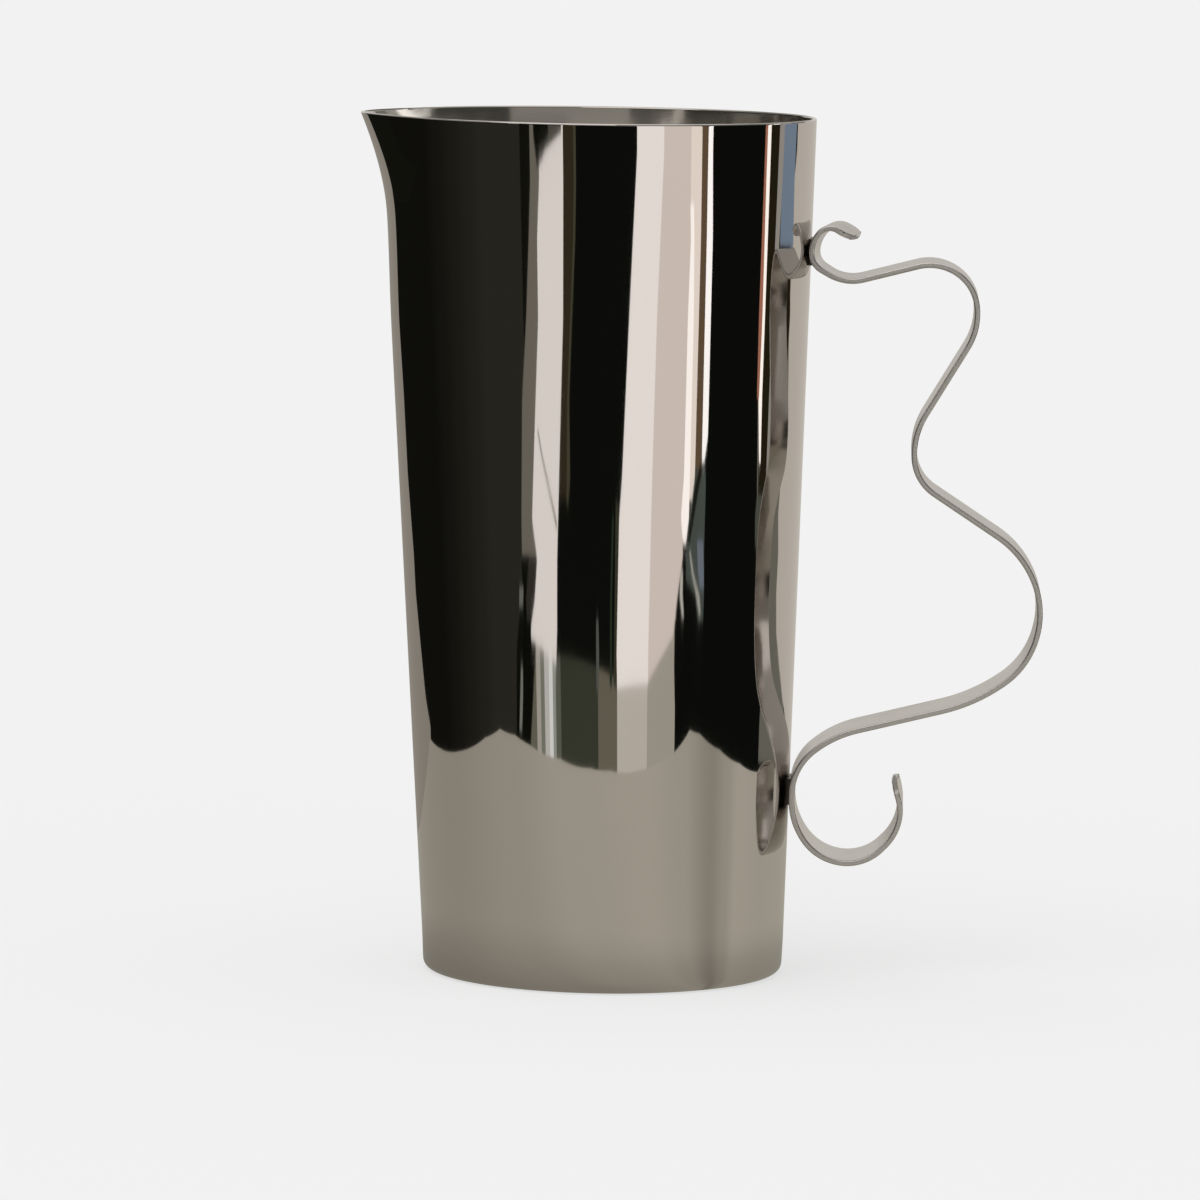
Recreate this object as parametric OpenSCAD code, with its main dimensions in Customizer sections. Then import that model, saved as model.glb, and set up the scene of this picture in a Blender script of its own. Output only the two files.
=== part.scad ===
// Cocktail pitcher in polished stainless steel.
// A tall body that widens towards the rim, with a broad lip drawn out of the rim to pour over,
// and an open handle bent from one flat strip that touches the body at two places.
// The body stands on z = 0 with the base's middle at the origin.
// The spout points along -X and the handle along +X.

/* [Body] */
// Height of the rim above the table
body_h = 230; // [180:1:280]
// Outer diameter of the rim
rim_d = 116.6; // [100:0.2:140]
// Outer diameter of the body, carried down to the table
base_d = 96.6; // [84:0.2:110]
// Thickness of the sheet
sheet_t = 1; // [0.6:0.1:1.5]
// How far the rim's middle stands towards the spout from the base's middle
body_lean = 4.3; // [0:0.1:8]

/* [Spout] */
// How far the lip stands out from the round rim
spout_reach = 5.4; // [3:0.1:10]
// Height of wall that curves out into the lip
spout_h = 27; // [20:1:40]
// Half of the angle that the lip takes up on the rim
spout_half_angle = 35; // [25:1:45]
// How far the wall is drawn in under the lip
tuck_depth = 0.4; // [0:0.1:1]
// Height of wall from the rim down that is drawn in under the lip
tuck_h = 58; // [40:1:90]

/* [Base] */
// Radius of the bend between the bottom and the wall
base_corner_r = 2.5; // [2:0.1:6]
// Height of the pan that makes the bottom
pan_h = 8; // [7:0.5:15]
// Width of the flat ring that the pitcher stands on
foot_w = 6; // [3:0.5:12]
// Height that the middle of the bottom is pressed up
dish_h = 1; // [0.5:0.1:3]
// Width of the slope between the foot ring and the pressed middle
dish_slope_w = 5; // [3:0.5:10]
// Height of the weld between the pan and the wall
seam_h = 1; // [0.5:0.1:2]

/* [Handle] */
// Width of the strip
strip_w = 25; // [18:0.5:32]
// Thickness of the strip
strip_t = 1.5; // [1.2:0.1:2.5]
// Height at which the lower curl touches the wall
lower_touch_z = 49.5; // [45:0.5:60]
// Distance down from the rim at which the upper curl touches the wall
upper_touch_drop = 35.5; // [32:0.5:50]
// Distance from the wall out to the handle's furthest corner
handle_reach = 66; // [55:1:80]
// Length of the rounded end at each tip of the strip
strip_end_l = 4; // [2:0.5:8]

/* [Handle welds] */
// Gap between the strip and the wall where they touch, filled with weld
weld_gap = 0.1; // [0.05:0.05:0.3]
// Width of each weld across the strip
weld_w = 12; // [6:1:16]
// Height of each weld
weld_h = 7; // [4:0.5:9]

/* [Hidden] */

steel_colour = [0.78, 0.76, 0.73];
weld_colour = [0.66, 0.64, 0.61];

// Faces round a full turn
round_fn = 96;
// Rows of points up the drawn part of the wall
drawn_rows = 10;
// Facets on the quarter bends of the pan
corner_steps = 8;
// Turn of the strip from one facet to the next
bend_step = 7.5;
// Facets round each tip of the strip
tip_steps = 20;
// What a cut runs past the solid it cuts
overrun = 1;
// Points of an outline that are closer than this are one point
same_point = 0.01;

// The lip falls away from the rim with this power of the depth
lip_fall_power = 1.8;
// The rows crowd towards the rim with this power of their count
row_crowd_power = 1.6;

// The wall stands on the weld that closes the pan
seam_top_z = pan_h + seam_h;
wall_h = body_h - seam_top_z;
wall_slope = (rim_d - base_d) / 2 / body_h;

upper_touch_z = body_h - upper_touch_drop;
touch_rise = upper_touch_z - lower_touch_z;

// Corners of the handle's side view before they are rounded, from the upper tip to the lower.
// Each is a height, as a share of the rise from the lower touch to the upper one,
// and a distance out from the wall, as a share of the reach.
handle_corner_shares = [
    // Upper curl, which lies against the wall between its third and fourth corners
    [1.025, 0.180],
    [1.055, 0.065],
    [1.020, 0.000],
    [0.980, 0.000],
    [0.945, 0.130],
    // Shoulder
    [0.990, 0.505],
    [0.945, 0.655],
    [0.865, 0.675],
    // Neck
    [0.670, 0.430],
    [0.585, 0.445],
    // Belly
    [0.455, 0.890],
    [0.355, 0.990],
    [0.245, 0.935],
    [0.175, 0.720],
    // Lower curl, which lies against the wall between its second and third corners
    [0.110, 0.155],
    [0.050, 0.000],
    [-0.050, 0.000],
    [-0.120, 0.115],
    [-0.130, 0.305],
    [-0.055, 0.465],
    [0.030, 0.415]
];

// Outer radius of the round wall at a height
function wall_r(z) = base_d / 2 + wall_slope * z;

// Place of the round wall's middle along X at a height
function wall_mid_x(z) = -body_lean * (z - seam_top_z) / wall_h;

// Place of the wall's back, behind the handle, at a height
function wall_back_x(z) = wall_mid_x(z) + wall_r(z);

// How much the lip takes part at an angle, from 1 at its tip to 0 at its sides
function lip_share(angle) =
    let (off = abs(angle - 180))
    off < spout_half_angle ? pow(cos(90 * off / spout_half_angle), 2) : 0;

// How far the wall stands out from its round form
function lip_push(angle, depth) =
    let (out = depth < spout_h ? spout_reach * pow(1 - depth / spout_h, lip_fall_power) : 0)
    let (tuck = depth < tuck_h ? tuck_depth * pow(sin(180 * depth / tuck_h), 2) : 0)
    lip_share(angle) * (out - tuck);

function wall_point(angle, z, inset) =
    let (r = wall_r(z) + lip_push(angle, body_h - z) - inset)
    [wall_mid_x(z) + r * cos(angle), r * sin(angle), z];

// A closed skin through rings of points, each ring joined to the next and the last to the first
module ring_loft(rings) {
    count = len(rings);
    size = len(rings[0]);
    points = [for (ring = rings) each ring];
    faces = [
        for (i = [0:count - 1], j = [0:size - 1])
            let (
                a = i * size + j,
                b = ((i + 1) % count) * size + j,
                c = ((i + 1) % count) * size + (j + 1) % size,
                d = i * size + (j + 1) % size
            )
            each [[a, b, c], [a, c, d]]
    ];
    polyhedron(points, faces);
}

// The rolled and drawn wall, with the lip, open at the bottom where the pan is welded on
module wall() {
    drawn_z = [for (i = [0:drawn_rows]) body_h - tuck_h * pow(1 - i / drawn_rows, row_crowd_power)];
    rows = concat([seam_top_z], drawn_z);
    last = len(rows) - 1;
    section = concat(
        [for (i = [0:last]) [rows[i], 0]],
        [for (i = [last:-1:0]) [rows[i], sheet_t]]
    );
    color(steel_colour)
        ring_loft([
            for (step = [0:round_fn - 1])
                let (angle = 360 * step / round_fn)
                [for (s = section) wall_point(angle, s[0], s[1])]
        ]);
}

// Points of a bend, as radius and height, about a centre
function bend_points(centre, r, from, to) = [
    for (i = [0:corner_steps])
        let (a = from + (to - from) * i / corner_steps)
        [centre[0] + r * cos(a), centre[1] + r * sin(a)]
];

// The pressed bottom: a flat foot ring, a raised middle and a rim turned up to meet the wall
module base_pan() {
    lean_angle = atan(wall_slope);
    bend_mid_r = wall_r(base_corner_r) - base_corner_r / cos(lean_angle);
    bend_mid = [bend_mid_r, base_corner_r];
    foot_in_r = bend_mid_r - foot_w;
    dish_r = foot_in_r - dish_slope_w;
    outside = concat(
        [[0, dish_h], [dish_r, dish_h], [foot_in_r, 0]],
        bend_points(bend_mid, base_corner_r, -90, -lean_angle),
        [[wall_r(pan_h), pan_h]]
    );
    inside = concat(
        [[wall_r(pan_h) - sheet_t, pan_h]],
        bend_points(bend_mid, base_corner_r - sheet_t, -lean_angle, -90),
        [[foot_in_r, sheet_t], [dish_r, dish_h + sheet_t], [0, dish_h + sheet_t]]
    );
    color(steel_colour)
        rotate_extrude($fn = round_fn)
            polygon(concat(outside, inside));
}

// The weld between the pan and the wall, ground flush on both sides
module base_seam_weld() {
    color(weld_colour)
        rotate_extrude($fn = round_fn)
            polygon([
                [wall_r(pan_h), pan_h],
                [wall_r(seam_top_z), seam_top_z],
                [wall_r(seam_top_z) - sheet_t, seam_top_z],
                [wall_r(pan_h) - sheet_t, pan_h]
            ]);
}

function unit(v) = v / norm(v);

// Handle's corners in the side view, as X and height, on the strip's middle line
handle_corners = [
    for (share = handle_corner_shares)
        let (z = lower_touch_z + share[0] * touch_rise)
        [wall_back_x(z) + weld_gap + strip_t / 2 + share[1] * handle_reach, z]
];

// Length of strip that the bend at a corner may take on each side: up to the middle of the
// shorter side, or up to the tip
function bend_room(points, i) =
    let (before = norm(points[i - 1] - points[i]) * (i == 1 ? 1 : 1 / 2))
    let (after = norm(points[i + 1] - points[i]) * (i == len(points) - 2 ? 1 : 1 / 2))
    min(before, after);

// The round bend at one corner: a list of points, each with the strip's heading there
function corner_bend(points, i) =
    let (
        room = bend_room(points, i),
        way_in = unit(points[i] - points[i - 1]),
        way_out = unit(points[i + 1] - points[i]),
        heading = atan2(way_in[1], way_in[0]),
        turn = atan2(
            way_in[0] * way_out[1] - way_in[1] * way_out[0],
            way_in[0] * way_out[0] + way_in[1] * way_out[1]
        ),
        side = sign(turn),
        r = room / tan(abs(turn) / 2),
        start = points[i] - room * way_in,
        middle = start + side * r * [-sin(heading), cos(heading)],
        steps = ceil(abs(turn) / bend_step)
    )
    [
        for (k = [0:steps])
            let (h = heading + turn * k / steps)
            [middle + side * r * [sin(h), -cos(h)], h]
    ];

// The strip's middle line, from tip to tip
function strip_line(points) =
    let (
        last = len(points) - 1,
        first_way = points[1] - points[0],
        last_way = points[last] - points[last - 1],
        all = concat(
            [[points[0], atan2(first_way[1], first_way[0])]],
            [for (i = [1:last - 1]) each corner_bend(points, i)],
            [[points[last], atan2(last_way[1], last_way[0])]]
        )
    )
    [for (i = [0:len(all) - 1]) if (i == 0 || norm(all[i][0] - all[max(i - 1, 0)][0]) > same_point) all[i]];

// The middle line moved sideways
function beside(line, offset) = [for (p = line) p[0] + offset * [-sin(p[1]), cos(p[1])]];

// Outline of a half ellipse about the tip's rounded end
function tip_outline() = [
    for (k = [0:tip_steps])
        let (a = -90 + 180 * k / tip_steps)
        [strip_end_l * (cos(a) - 1), strip_w / 2 * sin(a)]
];

// What is cut off a tip to round it, with the strip's end at the origin and running along X
module tip_cut() {
    depth = 2 * strip_t;
    edge_y = strip_w / 2 + overrun;
    translate([0, 0, -depth])
        linear_extrude(height = 2 * depth)
            polygon(concat(
                tip_outline(),
                [
                    [-strip_end_l, edge_y],
                    [overrun, edge_y],
                    [overrun, -edge_y],
                    [-strip_end_l, -edge_y]
                ]
            ));
}

// The strip bent to its side view, with square tips
module bent_strip() {
    line = strip_line(handle_corners);
    left = beside(line, strip_t / 2);
    right = beside(line, -strip_t / 2);
    rotate([90, 0, 0])
        linear_extrude(height = strip_w, center = true)
            polygon(concat(left, [for (i = [len(right) - 1:-1:0]) right[i]]));
}

// Sets a child at a point of the side view, with its X along a heading there
module at_side_view(point, heading) {
    translate([point[0], 0, point[1]])
        rotate([0, -heading, 0])
            children();
}

module handle() {
    last = len(handle_corners) - 1;
    upper_way = handle_corners[0] - handle_corners[1];
    lower_way = handle_corners[last] - handle_corners[last - 1];
    color(steel_colour)
        difference() {
            bent_strip();
            at_side_view(handle_corners[0], atan2(upper_way[1], upper_way[0])) tip_cut();
            at_side_view(handle_corners[last], atan2(lower_way[1], lower_way[0])) tip_cut();
        }
}

// The round body as a solid, between two heights
module solid_body(low_z, high_z) {
    rings = [
        for (z = [low_z, high_z])
            [for (step = [0:round_fn - 1]) wall_point(360 * step / round_fn, z, 0)]
    ];
    sides = [
        for (j = [0:round_fn - 1])
            let (k = (j + 1) % round_fn)
            [j, j + round_fn, k + round_fn, k]
    ];
    lower_cap = [for (j = [0:round_fn - 1]) j];
    upper_cap = [for (j = [round_fn - 1:-1:0]) j + round_fn];
    polyhedron(concat(rings[0], rings[1]), concat([lower_cap, upper_cap], sides));
}

// Weld that fills the gap between the strip and the wall about the height where they touch
module touch_weld(z) {
    low_z = z - weld_h / 2;
    high_z = z + weld_h / 2;
    depth = wall_r(z) - sqrt(pow(wall_r(z), 2) - pow(weld_w / 2, 2)) + sheet_t / 2;
    outer_x = wall_back_x(z) + weld_gap + strip_t / 2;
    color(weld_colour)
        difference() {
            translate([wall_back_x(z) - depth, -weld_w / 2, low_z])
                cube([outer_x - wall_back_x(z) + depth, weld_w, weld_h]);
            solid_body(low_z - overrun, high_z + overrun);
            bent_strip();
        }
}

module upper_handle_weld() {
    touch_weld(upper_touch_z);
}

module lower_handle_weld() {
    touch_weld(lower_touch_z);
}

wall();
base_pan();
base_seam_weld();
handle();
upper_handle_weld();
lower_handle_weld();
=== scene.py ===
# Cocktail pitcher in polished stainless steel: a tall round body with a lip drawn out of its rim,
# and an open handle bent from one flat strip. Lengths are in metres, and +Z is up. The body stands
# on z = 0 with its base's middle at the origin, the lip towards -X and the handle towards +X.
import math

import bmesh
import bpy
from mathutils import Matrix, Vector


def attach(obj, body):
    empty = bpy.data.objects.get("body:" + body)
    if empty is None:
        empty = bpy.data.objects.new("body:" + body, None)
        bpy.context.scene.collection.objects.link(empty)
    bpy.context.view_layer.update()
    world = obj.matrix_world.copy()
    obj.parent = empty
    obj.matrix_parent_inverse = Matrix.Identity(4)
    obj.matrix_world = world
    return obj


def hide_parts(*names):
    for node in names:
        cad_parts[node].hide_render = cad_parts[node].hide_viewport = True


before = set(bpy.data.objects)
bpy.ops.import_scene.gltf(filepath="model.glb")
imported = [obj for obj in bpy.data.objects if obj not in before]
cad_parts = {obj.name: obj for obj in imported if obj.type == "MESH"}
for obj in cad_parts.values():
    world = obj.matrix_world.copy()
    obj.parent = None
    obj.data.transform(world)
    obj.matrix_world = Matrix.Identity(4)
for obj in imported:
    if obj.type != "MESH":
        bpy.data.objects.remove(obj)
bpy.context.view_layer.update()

MM = 0.001

# Body, as in the part's source
BODY_H = 230 * MM
RIM_R = 58.3 * MM
BASE_R = 48.3 * MM
SHEET_T = 1 * MM
BODY_LEAN = 4.3 * MM
PAN_H = 8 * MM
SEAM_TOP_Z = 9 * MM
RIM_EASE = 0.4 * MM

# Lip
SPOUT_REACH = 5.4 * MM
SPOUT_H = 27 * MM
SPOUT_HALF_ANGLE = 35
TUCK_DEPTH = 0.4 * MM
TUCK_H = 58 * MM
LIP_FALL_POWER = 1.8

# Rows of the wall: heights in millimetres above the seam, and depths below the rim where the lip is
WALL_ROWS = (0, 3, 9, 21, 41, 66, 96, 121, 141, 153, 159)
LIP_ROWS = (
    58, 53, 48, 43.5, 39, 35, 31, 27.5, 24, 21, 18, 15.5, 13, 11, 9, 7.2, 5.6, 4.2, 3, 2, 1.2, 0.6, 0,
)

# Bottom pan
BASE_CORNER_R = 2.5 * MM
FOOT_W = 6 * MM
DISH_H = 1 * MM
DISH_SLOPE_W = 5 * MM
DISH_EASE = 0.8 * MM
BEND_STEPS = 6
PAN_SIDE_ROWS = (4 * MM, 6.5 * MM, PAN_H)
SEAM_ROWS = (PAN_H, PAN_H + 0.3 * MM, PAN_H + 0.7 * MM, SEAM_TOP_Z)

# Handle
STRIP_W = 25 * MM
STRIP_T = 1.5 * MM
LOWER_TOUCH_Z = 49.5 * MM
UPPER_TOUCH_Z = 194.5 * MM
HANDLE_REACH = 66 * MM
STRIP_END_L = 4 * MM
STRIP_EASE = 0.4 * MM
WELD_GAP = 0.1 * MM
# Height as a share of the rise between the touches, and distance out as a share of the reach
HANDLE_CORNERS = (
    (1.027, 0.174), (1.055, 0.065), (1.020, 0.000), (0.980, 0.000), (0.945, 0.130),
    (0.990, 0.505), (0.945, 0.655), (0.865, 0.675),
    (0.670, 0.430), (0.585, 0.445),
    (0.455, 0.890), (0.355, 0.990), (0.245, 0.935), (0.175, 0.720),
    (0.110, 0.155), (0.050, 0.000), (-0.050, 0.000), (-0.120, 0.115),
    (-0.130, 0.305), (-0.055, 0.465), (0.030, 0.415),
)

# Both tips are turned a little about the strip's way, as it was bent by hand: turn and length
UPPER_TIP_TURN = (8, 28 * MM)
LOWER_TIP_TURN = (2, 9 * MM)

# How finely the pieces are made, and how far points may be apart that count as at one place. The
# rows of a tip are angles in degrees along its half ellipse. An edge runs round the body as long as
# its share in the outward direction stays under ACROSS.
ROUND_STEPS = 144
SPIN_STEP = math.radians(3)
TIP_STATIONS = (86, 80, 73, 66, 59, 52, 45, 38, 31, 24, 16, 8, 0)
SHARP_ANGLE = math.radians(30)
EDGE_ANGLE = math.radians(50)
NEAR = 0.02 * MM
SAME_POINT = 0.005 * MM
ACROSS = 0.7


def wall_r(z):
    """The body's outer radius, which grows evenly with height."""
    return BASE_R + (RIM_R - BASE_R) * z / BODY_H


def wall_mid_x(z):
    """Where the body's middle line stands: straight up to the seam, then leaning to the lip."""
    return -BODY_LEAN * max(z - SEAM_TOP_Z, 0) / (BODY_H - SEAM_TOP_Z)


def wall_back_x(z):
    """Where the wall's outer face stands on the handle's side."""
    return wall_mid_x(z) + wall_r(z)


def lip_push(off_angle, depth):
    """How far the wall stands out from its round form, at an angle away from the lip's middle."""
    if off_angle >= SPOUT_HALF_ANGLE:
        return 0
    share = math.cos(math.radians(90 * off_angle / SPOUT_HALF_ANGLE)) ** 2
    out = SPOUT_REACH * (1 - depth / SPOUT_H) ** LIP_FALL_POWER if depth < SPOUT_H else 0
    tuck = TUCK_DEPTH * math.sin(math.pi * depth / TUCK_H) ** 2 if depth < TUCK_H else 0
    return share * (out - tuck)


# Modelling steps


def named_piece(name, materials):
    """The object just added, with its place put in its mesh, and its materials, ready to edit."""
    piece = bpy.context.object
    piece.name = piece.data.name = name
    bpy.ops.object.transform_apply(location=True, rotation=True, scale=True)
    bpy.ops.object.mode_set(mode="EDIT")
    bpy.ops.mesh.select_mode(type="VERT")
    bpy.ops.mesh.select_all(action="SELECT")
    for material in materials:
        piece.data.materials.append(material)
    return piece


def first_ring(name, materials, radius, z):
    """A piece that starts as one ring of points round the body's middle line."""
    deselect()
    bpy.ops.mesh.primitive_circle_add(
        vertices=ROUND_STEPS, radius=radius, location=(wall_mid_x(z), 0, z)
    )
    return named_piece(name, materials)


def deselect():
    """Leaves edit mode, with no object selected."""
    if bpy.context.object and bpy.context.object.mode == "EDIT":
        bpy.ops.object.mode_set(mode="OBJECT")
    bpy.ops.object.select_all(action="DESELECT")


def deselect_points():
    """Leaves the active piece in object mode with no point selected."""
    bpy.ops.object.mode_set(mode="EDIT")
    bpy.ops.mesh.select_mode(type="VERT")
    bpy.ops.mesh.select_all(action="DESELECT")
    bpy.ops.object.mode_set(mode="OBJECT")


def open_mesh():
    """The mesh being edited."""
    return bmesh.from_edit_mesh(bpy.context.edit_object.data)


def pick_points(test):
    """Selects the points whose place passes a test, with the edges and faces between them."""
    shape = open_mesh()
    bpy.ops.mesh.select_all(action="DESELECT")
    for point in shape.verts:
        if test(point.co):
            point.select_set(True)
    shape.select_flush(True)
    bmesh.update_edit_mesh(bpy.context.edit_object.data)


def pick_edges(test):
    """Selects the edges whose two ends pass a test."""
    bpy.ops.mesh.select_mode(type="EDGE")
    bpy.ops.mesh.select_all(action="DESELECT")
    shape = open_mesh()
    for edge in shape.edges:
        if test(edge.verts[0].co, edge.verts[1].co):
            edge.select_set(True)
    bmesh.update_edit_mesh(bpy.context.edit_object.data)


def ring_to(radius, z, new_radius, new_z):
    """Extrudes the picked ring to a new height and radius, about the body's middle line."""
    shift = wall_mid_x(new_z) - wall_mid_x(z)
    bpy.ops.mesh.extrude_region_move(TRANSFORM_OT_translate={"value": (shift, 0, new_z - z)})
    k = new_radius / radius
    bpy.ops.transform.resize(value=(k, k, 1), center_override=(wall_mid_x(new_z), 0, new_z))


def along_ring(a, b, z):
    """Whether an edge lies at a height and runs round the body, not across the sheet."""
    if abs(a.z - z) > NEAR or abs(b.z - z) > NEAR:
        return False
    way = (b - a).normalized()
    out = Vector((a.x - wall_mid_x(z), a.y, 0)).normalized()
    return abs(way.dot(out)) < ACROSS


def modify(kind, **values):
    """Adds a modifier to the active piece, sets it and applies it."""
    piece = bpy.context.object
    bpy.ops.object.modifier_add(type=kind)
    modifier = piece.modifiers[-1]
    for key, value in values.items():
        setattr(modifier, key, value)
    bpy.ops.object.modifier_apply(modifier=modifier.name)


def thicken_sheet():
    """Gives an outer skin the sheet's thickness; the inner side gets the second material."""
    bpy.ops.mesh.select_all(action="SELECT")
    bpy.ops.mesh.normals_make_consistent(inside=False)
    outer = max(open_mesh().faces, key=lambda face: face.calc_center_median().z)
    if outer.normal.dot(outer.calc_center_median() * Vector((1, 1, 0))) < 0:
        bpy.ops.mesh.flip_normals()
    bpy.ops.object.mode_set(mode="OBJECT")
    modify("SOLIDIFY", thickness=SHEET_T, offset=-1, use_even_offset=True, material_offset=1)
    bpy.ops.object.mode_set(mode="EDIT")
    bpy.ops.mesh.select_mode(type="VERT")


def flatten_at(z, reach=SHEET_T / 2):
    """Brings a border of the sheet to one height, across its thickness."""
    pick_points(lambda p: abs(p.z - z) < reach)
    bpy.ops.transform.resize(value=(1, 1, 0), center_override=(0, 0, z))


def keep_crisp(*heights):
    """Holds the square corners of the sheet's joints while the rest is smoothed."""
    for z in heights:
        pick_edges(lambda a, b: along_ring(a, b, z))
        bpy.ops.transform.edge_crease(value=1)


def smooth_and_finish():
    """Rounds the piece once more and shades it smooth up to its sharp angles."""
    bpy.ops.object.mode_set(mode="OBJECT")
    modify("SUBSURF", levels=1, render_levels=1)
    bpy.ops.object.shade_smooth_by_angle(angle=SHARP_ANGLE)


# Pieces


def body_wall(materials):
    """The wall above the seam: a ring raised row by row, with the lip drawn out of its top rows."""
    rows = [SEAM_TOP_Z + height * MM for height in WALL_ROWS]
    rows += [BODY_H - depth * MM for depth in LIP_ROWS]
    piece = first_ring("body_wall", materials, wall_r(rows[0]), rows[0])
    for low, high in zip(rows, rows[1:]):
        ring_to(wall_r(low), low, wall_r(high), high)
    draw_lip()
    thicken_sheet()
    flatten_at(BODY_H)
    flatten_at(SEAM_TOP_Z)
    pick_edges(lambda a, b: along_ring(a, b, BODY_H))
    bpy.ops.mesh.bevel(offset=RIM_EASE, segments=3, affect="EDGES", clamp_overlap=False)
    keep_crisp(SEAM_TOP_Z)
    smooth_and_finish()
    return piece


def draw_lip():
    """Pulls each pair of points beside the lip's middle out or in by the drawn form."""
    groups = {}
    for point in open_mesh().verts:
        z = point.co.z
        if z < BODY_H - TUCK_H - NEAR:
            continue
        x = point.co.x - wall_mid_x(z)
        off = round(abs(180 - math.degrees(math.atan2(abs(point.co.y), x))), 2)
        push = lip_push(off, BODY_H - z)
        if abs(push) > NEAR / 20:
            groups.setdefault((round(z, 6), off, push), []).append(point.index)
    bpy.ops.mesh.select_all(action="DESELECT")
    for (z, off, push), members in groups.items():
        shape = open_mesh()
        shape.verts.ensure_lookup_table()
        for index in members:
            shape.verts[index].select_set(True)
        k = (wall_r(z) + push) / wall_r(z)
        bpy.ops.transform.resize(value=(k, k, 1), center_override=(wall_mid_x(z), 0, z))
        bpy.ops.mesh.select_all(action="DESELECT")


def bottom_pan(materials):
    """The pressed bottom: a raised middle, the foot ring and the bend up to the seam."""
    lean = math.atan((RIM_R - BASE_R) / BODY_H)
    bend_mid_r = wall_r(BASE_CORNER_R) - BASE_CORNER_R / math.cos(lean)
    foot_in_r = bend_mid_r - FOOT_W
    dish_r = foot_in_r - DISH_SLOPE_W
    profile = [
        (dish_r * 0.7, DISH_H), (dish_r * 0.9, DISH_H), (dish_r - DISH_EASE, DISH_H),
        (dish_r + DISH_EASE, DISH_H * 0.84), (foot_in_r - DISH_EASE, DISH_H * 0.16),
        (foot_in_r + DISH_EASE, 0), (foot_in_r + 3 * DISH_EASE, 0), (bend_mid_r - DISH_EASE, 0),
    ]
    for i in range(BEND_STEPS + 1):
        a = -math.pi / 2 + (math.pi / 2 - lean) * i / BEND_STEPS
        profile.append((bend_mid_r + BASE_CORNER_R * math.cos(a), BASE_CORNER_R * (1 + math.sin(a))))
    profile += [(wall_r(z), z) for z in PAN_SIDE_ROWS]
    piece = first_ring("bottom_pan", materials, *profile[0])
    bpy.ops.mesh.fill_grid(span=ROUND_STEPS // 4)
    bpy.ops.mesh.region_to_loop()
    for (radius, z), (new_radius, new_z) in zip(profile, profile[1:]):
        ring_to(radius, z, new_radius, new_z)
    thicken_sheet()
    flatten_at(PAN_H)
    keep_crisp(PAN_H)
    smooth_and_finish()
    return piece


def bottom_seam(materials):
    """The weld between pan and wall, ground flush and polished with them."""
    piece = first_ring("bottom_seam", materials, wall_r(PAN_H), PAN_H)
    for low, high in zip(SEAM_ROWS, SEAM_ROWS[1:]):
        ring_to(wall_r(low), low, wall_r(high), high)
    thicken_sheet()
    flatten_at(PAN_H, SHEET_T / 10)
    flatten_at(SEAM_TOP_Z, SHEET_T / 10)
    keep_crisp(PAN_H, SEAM_TOP_Z)
    smooth_and_finish()
    return piece


def handle_corners():
    """Corners of the handle's side view before they are bent round, as X and height."""
    corners = []
    for up, out in HANDLE_CORNERS:
        z = LOWER_TOUCH_Z + up * (UPPER_TOUCH_Z - LOWER_TOUCH_Z)
        corners.append(Vector((wall_back_x(z) + WELD_GAP + STRIP_T / 2 + out * HANDLE_REACH, z)))
    return corners


def handle_bends(corners):
    """Each bend's start, middle, turn and way in, and its end and way out."""
    bends = []
    for i in range(1, len(corners) - 1):
        before, after = corners[i] - corners[i - 1], corners[i + 1] - corners[i]
        share_in = 1 if i == 1 else 0.5
        share_out = 1 if i == len(corners) - 2 else 0.5
        room = min(before.length * share_in, after.length * share_out)
        way_in, way_out = before.normalized(), after.normalized()
        turn = math.atan2(way_in.x * way_out.y - way_in.y * way_out.x, way_in.dot(way_out))
        r = room / math.tan(abs(turn) / 2)
        start = corners[i] - room * way_in
        middle = start + math.copysign(r, turn) * Vector((-way_in.y, way_in.x))
        bends.append((start, middle, turn, way_in, corners[i] + room * way_out, way_out))
    return bends


def push_strip(way, length, width_share=1):
    """Extrudes the strip's end face along its way, and narrows it by a share."""
    bpy.ops.mesh.extrude_region_move(
        TRANSFORM_OT_translate={"value": (way.x * length, 0, way.y * length)}
    )
    if width_share != 1:
        bpy.ops.transform.resize(value=(1, width_share, 1), center_override=(0, 0, 0))


def tip_stations():
    """Distances in from a tip and the strip's width there, along a half ellipse."""
    angles = [math.radians(angle) for angle in TIP_STATIONS]
    return [(STRIP_END_L * (1 - math.sin(a)), STRIP_W * math.cos(a)) for a in angles]


def turn_tip(piece, rows, turn, length):
    """Turns an end of the strip about its own way, more and more towards the tip."""
    middles = [sum((piece.data.vertices[i].co for i in row), Vector()) / len(row) for row in rows]
    gone = 0
    for row, middle, following in zip(rows, middles, middles[1:]):
        share = 1 - gone / length
        if share <= 0:
            return
        way = (following - middle).normalized()
        side = Vector((0, 1, 0)).cross(way)
        deselect_points()
        for i in row:
            piece.data.vertices[i].select = True
        bpy.ops.object.mode_set(mode="EDIT")
        bpy.ops.transform.rotate(
            value=math.radians(turn) * share, orient_axis="Z", orient_type="GLOBAL",
            orient_matrix=(tuple(side), (0, 1, 0), tuple(way)), orient_matrix_type="GLOBAL",
            center_override=middle,
        )
        bpy.ops.object.mode_set(mode="OBJECT")
        gone += (following - middle).length


def finish_edges(piece):
    """Gives the strip's two edges the second material: their faces lie wholly on one side."""
    for face in piece.data.polygons:
        near_side = [piece.data.vertices[i].co.y < 0 for i in face.vertices]
        face.material_index = int(all(near_side) or not any(near_side))


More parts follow.
